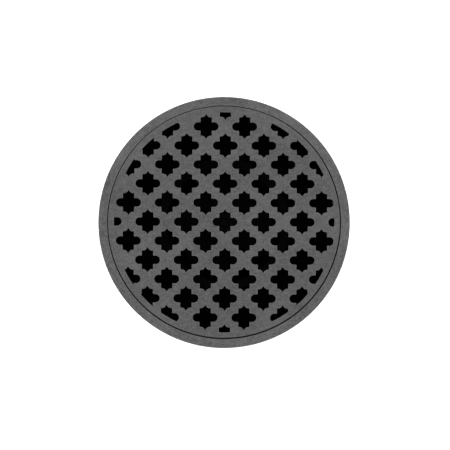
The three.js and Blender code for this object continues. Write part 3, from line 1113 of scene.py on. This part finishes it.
def slot_tool(top):
    """A tall round-ended slot through the basket's wall, facing +X, its upper end at that height."""
    half = SLOT_WIDTH / 2
    upper = arc(0, top - half, half, 0, math.pi, 10)
    lower = arc(0, top - SLOT_HEIGHT + half, half, math.pi, FULL_TURN, 10)
    tool = prism("tool", upper + lower, CUP_BOTTOM_R - 6, CUP_TOP_R + 3)
    tool.data.transform(Matrix(((0, 0, 1, 0), (1, 0, 0, 0), (0, 1, 0, 0), (0, 0, 0, 1))))
    return tool


def floor_hole_sites():
    """Holes on the plate's staggered lattice, under its solid crossings."""
    sites = []
    for row in range(-2, 3):
        for column in range(-2, 3):
            x, y = column * HALF_PITCH_X, row * HALF_PITCH_Y
            if (row + column) % 2 and math.hypot(x, y) < FLOOR_HOLE_REACH:
                sites.append((x, y))
    return sites


def make_cup():
    rim_bottom = cup.high - BASKET_RIM
    floor = cup.low + CUP_WALL
    piece = lathe("hair_basket", [
        (0, cup.low),
        (CUP_BOTTOM_R, cup.low, 1.6),
        (CUP_TOP_R, rim_bottom, 0.5),
        (cup.r, rim_bottom, 0.3),
        (cup.r, cup.high, 0.5),
        (CUP_TOP_R - CUP_WALL, cup.high, 0.6),
        (CUP_BOTTOM_R - CUP_WALL, floor, 1.0),
        (0, floor),
    ], MEDIUM)
    for tier in range(SLOT_TIERS):
        top = rim_bottom - SLOT_GAP - tier * (SLOT_HEIGHT + SLOT_GAP)
        cut(piece, around(slot_tool(top), SLOT_COUNT, tier * math.pi / SLOT_COUNT))
    for x, y in floor_hole_sites():
        cut(piece, [lathe("tool", [
            (0, cup.low - 1),
            (FLOOR_HOLE_R + 1, cup.low - 1),
            (FLOOR_HOLE_R + 0.3, cup.low, 0.3),
            (FLOOR_HOLE_R, cup.low + 0.3, 0.1),
            (FLOOR_HOLE_R, floor - 0.3, 0.3),
            (FLOOR_HOLE_R + 0.3, floor, 0.1),
            (FLOOR_HOLE_R + 1, floor + 1),
            (0, floor + 1),
        ], TINY, (x, y))])
    cut(piece, [lathe("tool", [
        (0, cup.low - 1),
        (STUD_R + 0.15, cup.low - 1),
        (STUD_R + 0.15, floor + 1),
        (0, floor + 1),
    ], SMALL)])
    # The basket takes the moulding with painted shade, far darker than real black plastic.
    dress(piece, "basket_cup", "basket", "painted_shade_moulding")


def make_knob():
    foot = cup.low + CUP_WALL + 0.1
    piece = lathe("pull_knob", [
        (0, knob.low),
        (STUD_R, knob.low, 0.3),
        (STUD_R, foot, 0.1),
        (POST_FOOT_R, foot, 0.2),
        (POST_FOOT_R, foot + 1.2, 0.5),
        (POST_R, foot + 2.6, 2.0),
        (POST_R, knob.high - 5.6, 2.0),
        (knob.r, knob.high - 4.2, 0.6),
        (knob.r, knob.high - 0.9, 0.7),
        (knob.r - 1.4, knob.high, 0.6),
        (2.6, knob.high, 0.4),
        (1.8, knob.high - 0.5, 0.6),
        (0, knob.high - 0.5),
    ], MEDIUM)
    flute = lathe("tool", [
        (0, knob.high - 6),
        (FLUTE_R, knob.high - 6),
        (FLUTE_R, knob.high + 1),
        (0, knob.high + 1),
    ], TINY, (knob.r + 0.75, 0))
    cut(piece, around(flute, FLUTE_COUNT))
    # The knob takes the moulding with painted shade, far darker than real black plastic.
    dress(piece, "basket_knob", "basket", "painted_shade_moulding")


def make_basket_nut():
    """A hexagon nut, its corners turned down at both ends. Its box is as wide as its flats are apart."""
    r = basket_nut.r * 2 / math.sqrt(3)
    hexagon = [(r * math.sin(a), r * math.cos(a)) for a in [i * math.pi / 3 for i in range(6)]]
    piece = prism("stud_nut", hexagon, basket_nut.low, basket_nut.high)
    crown = lathe("tool", [
        (0, basket_nut.low),
        (r * 0.88, basket_nut.low),
        (r * 1.02, basket_nut.low + NUT_CHAMFER),
        (r * 1.02, basket_nut.high - NUT_CHAMFER),
        (r * 0.88, basket_nut.high),
        (0, basket_nut.high),
    ], SMALL)
    combine(piece, [crown], "INTERSECT")
    cut(piece, [lathe("tool", [
        (0, basket_nut.low - 1),
        (STUD_R + 0.1, basket_nut.low - 1),
        (STUD_R + 0.1, basket_nut.high + 1),
        (0, basket_nut.high + 1),
    ], SMALL)])
    dress(piece, "basket_nut", "basket", "steel")


# ---- stage ---------------------------------------------------------------------------------------

FLOOR_SIZE = 6
SIDE_LIGHTS = 6
SIDE_LIGHT_REACH = 1.1
SIDE_LIGHT_HEIGHT = 0.4
VIEW_TILT = math.radians(3.4)
VIEW_WIDTH = 226.9
VIEW_DISTANCE = 1400
VIEW_CENTRE = (0.47, -1.47)
SENSOR = 36


def area_light(name, energy, size, place, target):
    light = bpy.data.lights.new(name, "AREA")
    light.shape = "DISK"
    light.size = size
    light.energy = energy
    lamp = new_object(name, light)
    lamp.location = place
    lamp.rotation_euler = (Vector(target) - Vector(place)).to_track_quat("-Z", "Y").to_euler()


def make_stage():
    bpy.ops.mesh.primitive_plane_add(size=FLOOR_SIZE, location=(0, 0, 0))
    floor = bpy.context.active_object
    floor.name = "floor"
    s = Shader("pale_floor", Metallic=0.0, Roughness=0.7)
    s.drive("Base Color", s.blend(s.spread(s.noise(3, detail=4), 0, 1), grey(0.90), grey(0.93)))
    floor.data.materials.append(s.material)
    world = bpy.data.worlds.new("studio")
    world.use_nodes = True
    world.node_tree.nodes["Background"].inputs["Color"].default_value = (1, 1, 1, 1)
    world.node_tree.nodes["Background"].inputs["Strength"].default_value = 1.0
    bpy.context.scene.world = world
    middle = (0, 0, TOP * MM)
    area_light("overhead", energy=7, size=1.6, place=(-0.1, 0.35, 1.7), target=middle)
    for i in range(SIDE_LIGHTS):
        angle = FULL_TURN * i / SIDE_LIGHTS
        x, y = SIDE_LIGHT_REACH * math.cos(angle), SIDE_LIGHT_REACH * math.sin(angle)
        area_light(f"side_{i}", energy=9, size=0.8, place=(x, y, SIDE_LIGHT_HEIGHT), target=(0, 0, 0))
    bpy.context.scene.view_settings.view_transform = "Standard"


def make_camera():
    target = Vector((VIEW_CENTRE[0], VIEW_CENTRE[1], TOP)) * MM
    back = Vector((0, -math.sin(VIEW_TILT), math.cos(VIEW_TILT))) * VIEW_DISTANCE * MM
    data = bpy.data.cameras.new("camera")
    data.sensor_width = SENSOR
    data.lens = SENSOR * VIEW_DISTANCE / VIEW_WIDTH
    data.clip_end = 20
    camera = new_object("camera", data)
    camera.location = target + back
    camera.rotation_euler = (-back).to_track_quat("-Z", "Y").to_euler()
    bpy.context.scene.camera = camera


make_camera()
make_stage()
make_frame()
make_cushion()
make_plate()
make_body()
make_flange_seal()
make_screws()
make_base_gasket()
make_friction_washer()
make_lock_nut()
make_pipe_seal()
make_slip_washer()
make_compression_nut()
make_basket_seal()
make_cup()
make_knob()
make_basket_nut()
